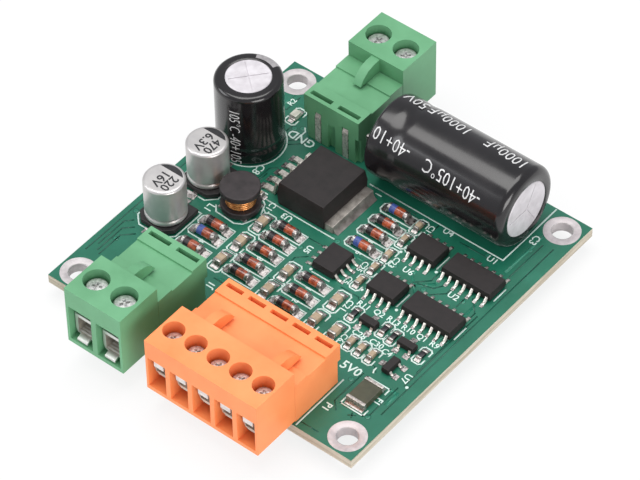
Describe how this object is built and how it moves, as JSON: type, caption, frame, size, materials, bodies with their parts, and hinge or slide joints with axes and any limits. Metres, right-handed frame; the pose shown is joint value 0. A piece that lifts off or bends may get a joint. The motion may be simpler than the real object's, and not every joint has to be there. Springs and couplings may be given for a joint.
{
  "type": "dc motor driver module",
  "caption": "Square circuit board with pluggable rising-cage screw terminals, electrolytic capacitors, regulator and small surface-mount parts that drives a DC motor.",
  "frame": {"origin": "centre of the four mounting holes, on the underside of the board", "axes": "+Z out of the component side of the board; +Y from the edge with the motor and signal plugs to the edge with the power plug; +X along the front edge from the motor plug to the signal plug"},
  "size_m": [0.055, 0.0698, 0.0172],
  "materials": {
    "board_mask": "satin solder mask",
    "green_plastic": "satin moulded plastic",
    "orange_plastic": "satin moulded plastic",
    "tin": "bright tin plate",
    "steel_screw": "nickel plate",
    "cage_metal": "nickel plate",
    "black_film": "glossy shrink film",
    "rubber_bung": "dull",
    "can_aluminium": "satin",
    "black_base": "matt",
    "ferrite": "matt",
    "copper_wire": "enamelled",
    "chip_epoxy": "matt",
    "orange_glass": "clear, tinted",
    "chip_ceramic": "matt",
    "resistor_top": "satin",
    "fuse_film": "satin",
    "led_lens": "clear"
  },
  "bodies": {
    "board": {"circuit_board": "board_mask", "motor_header_housing": "green_plastic", "motor_header_pins": "tin", "power_header_housing": "green_plastic", "power_header_pins": "tin", "signal_header_housing": "orange_plastic", "signal_header_pins": "tin", "bulk_capacitor_can": "black_film", "input_capacitor_can": "black_film", "bulk_capacitor_bung": "rubber_bung", "capacitor_leads": "tin", "ic_leads": "tin", "transistor_leads": "tin", "regulator_leads": "tin", "regulator_tab": "tin", "mosfet_metal": "tin", "smd_capacitor_terminals": "tin", "inductor_terminals": "tin", "chip_terminations": "tin", "diode_end_caps": "tin", "smd_capacitor_cans": "can_aluminium", "smd_capacitor_bases": "black_base", "inductor_core": "ferrite", "inductor_winding": "copper_wire", "regulator_body": "chip_epoxy", "ic_bodies": "chip_epoxy", "transistor_bodies": "chip_epoxy", "mosfet_bodies": "chip_epoxy", "diode_glass": "orange_glass", "chip_capacitor_bodies": "chip_ceramic", "chip_resistor_bodies": "resistor_top", "fuse_body": "fuse_film", "indicator_led": "led_lens"},
    "motor_plug": {"motor_plug_housing": "green_plastic", "motor_plug_contacts": "tin"},
    "motor_screw_1": {"motor_screw_1": "steel_screw"},
    "motor_cage_1": {"motor_cage_1": "cage_metal"},
    "motor_screw_2": {"motor_screw_2": "steel_screw"},
    "motor_cage_2": {"motor_cage_2": "cage_metal"},
    "signal_plug": {"signal_plug_housing": "orange_plastic", "signal_plug_contacts": "tin"},
    "signal_screw_1": {"signal_screw_1": "steel_screw"},
    "signal_cage_1": {"signal_cage_1": "cage_metal"},
    "signal_screw_2": {"signal_screw_2": "steel_screw"},
    "signal_cage_2": {"signal_cage_2": "cage_metal"},
    "signal_screw_3": {"signal_screw_3": "steel_screw"},
    "signal_cage_3": {"signal_cage_3": "cage_metal"},
    "signal_screw_4": {"signal_screw_4": "steel_screw"},
    "signal_cage_4": {"signal_cage_4": "cage_metal"},
    "signal_screw_5": {"signal_screw_5": "steel_screw"},
    "signal_cage_5": {"signal_cage_5": "cage_metal"},
    "power_plug": {"power_plug_housing": "green_plastic", "power_plug_contacts": "tin"},
    "power_screw_1": {"power_screw_1": "steel_screw"},
    "power_cage_1": {"power_cage_1": "cage_metal"},
    "power_screw_2": {"power_screw_2": "steel_screw"},
    "power_cage_2": {"power_cage_2": "cage_metal"}
  },
  "joints": [
    {"name": "motor_plug_slide", "type": "slide", "parent": "board", "child": "motor_plug", "axis": [0, -1, 0], "range_m": [0, 0.0075]},
    {"name": "motor_screw_1_turn", "type": "hinge", "parent": "motor_plug", "child": "motor_screw_1", "pos_m": [-0.01424, -0.03122, 0.0102], "axis": [0, 0, -1], "range_deg": [0, 1370]},
    {"name": "motor_cage_1_rise", "type": "slide", "parent": "motor_plug", "child": "motor_cage_1", "axis": [0, 0, 1], "range_m": [0, 0.0019]},
    {"name": "motor_screw_2_turn", "type": "hinge", "parent": "motor_plug", "child": "motor_screw_2", "pos_m": [-0.00916, -0.03122, 0.0102], "axis": [0, 0, -1], "range_deg": [0, 1370]},
    {"name": "motor_cage_2_rise", "type": "slide", "parent": "motor_plug", "child": "motor_cage_2", "axis": [0, 0, 1], "range_m": [0, 0.0019]},
    {"name": "signal_plug_slide", "type": "slide", "parent": "board", "child": "signal_plug", "axis": [0, -1, 0], "range_m": [0, 0.0075]},
    {"name": "signal_screw_1_turn", "type": "hinge", "parent": "signal_plug", "child": "signal_screw_1", "pos_m": [-0.00057, -0.03092, 0.0102], "axis": [0, 0, -1], "range_deg": [-1190, 0]},
    {"name": "signal_cage_1_rise", "type": "slide", "parent": "signal_plug", "child": "signal_cage_1", "axis": [0, 0, 1], "range_m": [-0.00165, 0]},
    {"name": "signal_screw_2_turn", "type": "hinge", "parent": "signal_plug", "child": "signal_screw_2", "pos_m": [0.00339, -0.03092, 0.0102], "axis": [0, 0, -1], "range_deg": [-1190, 0]},
    {"name": "signal_cage_2_rise", "type": "slide", "parent": "signal_plug", "child": "signal_cage_2", "axis": [0, 0, 1], "range_m": [-0.00165, 0]},
    {"name": "signal_screw_3_turn", "type": "hinge", "parent": "signal_plug", "child": "signal_screw_3", "pos_m": [0.00735, -0.03092, 0.0102], "axis": [0, 0, -1], "range_deg": [-1190, 0]},
    {"name": "signal_cage_3_rise", "type": "slide", "parent": "signal_plug", "child": "signal_cage_3", "axis": [0, 0, 1], "range_m": [-0.00165, 0]},
    {"name": "signal_screw_4_turn", "type": "hinge", "parent": "signal_plug", "child": "signal_screw_4", "pos_m": [0.01131, -0.03092, 0.0102], "axis": [0, 0, -1], "range_deg": [-1190, 0]},
    {"name": "signal_cage_4_rise", "type": "slide", "parent": "signal_plug", "child": "signal_cage_4", "axis": [0, 0, 1], "range_m": [-0.00165, 0]},
    {"name": "signal_screw_5_turn", "type": "hinge", "parent": "signal_plug", "child": "signal_screw_5", "pos_m": [0.01527, -0.03092, 0.0102], "axis": [0, 0, -1], "range_deg": [-1190, 0]},
    {"name": "signal_cage_5_rise", "type": "slide", "parent": "signal_plug", "child": "signal_cage_5", "axis": [0, 0, 1], "range_m": [-0.00165, 0]},
    {"name": "power_plug_slide", "type": "slide", "parent": "board", "child": "power_plug", "axis": [0, 1, 0], "range_m": [0, 0.0075]},
    {"name": "power_screw_1_turn", "type": "hinge", "parent": "power_plug", "child": "power_screw_1", "pos_m": [-0.00906, 0.03082, 0.0102], "axis": [0, 0, -1], "range_deg": [0, 1370]},
    {"name": "power_cage_1_rise", "type": "slide", "parent": "power_plug", "child": "power_cage_1", "axis": [0, 0, 1], "range_m": [0, 0.0019]},
    {"name": "power_screw_2_turn", "type": "hinge", "parent": "power_plug", "child": "power_screw_2", "pos_m": [-0.01414, 0.03082, 0.0102], "axis": [0, 0, -1], "range_deg": [0, 1370]},
    {"name": "power_cage_2_rise", "type": "slide", "parent": "power_plug", "child": "power_cage_2", "axis": [0, 0, 1], "range_m": [0, 0.0019]}
  ],
  "couplings": [
    {"joint": "motor_screw_1_turn", "follows": "motor_cage_1_rise", "rad_per_m": 12566},
    {"joint": "motor_screw_2_turn", "follows": "motor_cage_2_rise", "rad_per_m": 12566},
    {"joint": "signal_screw_1_turn", "follows": "signal_cage_1_rise", "rad_per_m": 12566},
    {"joint": "signal_screw_2_turn", "follows": "signal_cage_2_rise", "rad_per_m": 12566},
    {"joint": "signal_screw_3_turn", "follows": "signal_cage_3_rise", "rad_per_m": 12566},
    {"joint": "signal_screw_4_turn", "follows": "signal_cage_4_rise", "rad_per_m": 12566},
    {"joint": "signal_screw_5_turn", "follows": "signal_cage_5_rise", "rad_per_m": 12566},
    {"joint": "power_screw_1_turn", "follows": "power_cage_1_rise", "rad_per_m": 12566},
    {"joint": "power_screw_2_turn", "follows": "power_cage_2_rise", "rad_per_m": 12566}
  ]
}
